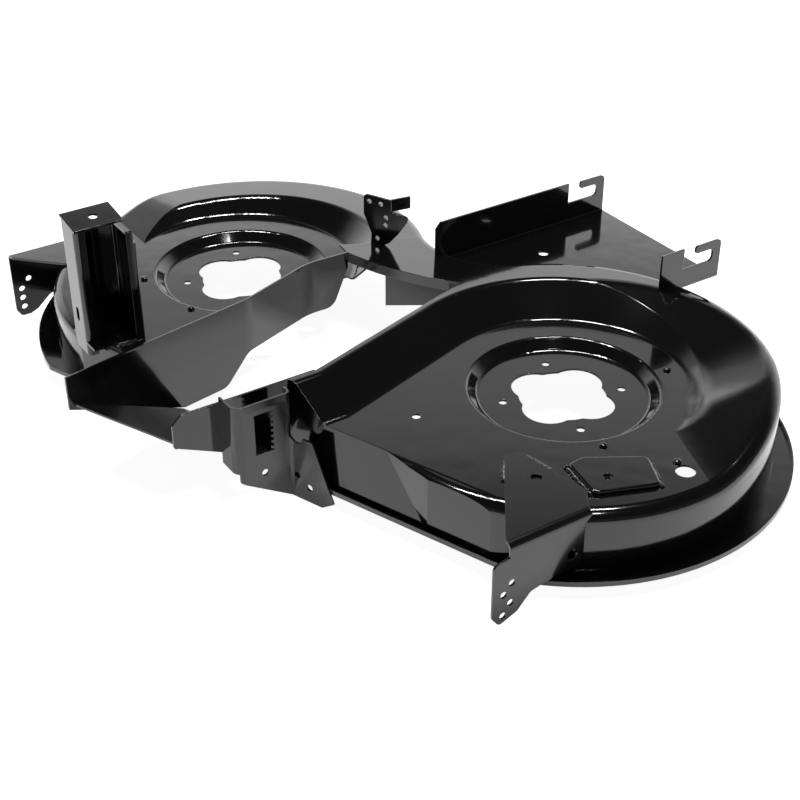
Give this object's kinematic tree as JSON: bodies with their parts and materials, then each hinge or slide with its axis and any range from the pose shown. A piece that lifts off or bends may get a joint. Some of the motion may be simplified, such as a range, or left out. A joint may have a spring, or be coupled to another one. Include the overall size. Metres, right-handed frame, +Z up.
{
  "type": "lawn mower deck",
  "caption": "Bare welded mower deck with staggered pressed blade housings, a rear discharge tunnel, wheel brackets, a lift upright and a hooked front hanger.",
  "frame": {"origin": "below the middle of the whole deck, at its lowest point", "axes": "+X towards the right housing, +Y towards the front hanger, +Z up"},
  "size_m": [1.089, 0.8632, 0.2772],
  "materials": {
    "black_coat": "gloss black powder coat"
  },
  "bodies": {
    "root": {"left_shell": "black_coat", "right_shell": "black_coat", "left_chute_plate": "black_coat", "right_chute_plate": "black_coat", "chute_ramp": "black_coat", "neck_baffle": "black_coat", "lift_upright": "black_coat", "right_wheel_bracket": "black_coat", "left_wheel_bracket": "black_coat", "front_hanger": "black_coat", "quadrant_bracket": "black_coat", "neck_bracket": "black_coat", "seat_pad": "black_coat", "plate_studs": "black_coat"}
  },
  "joints": []
}
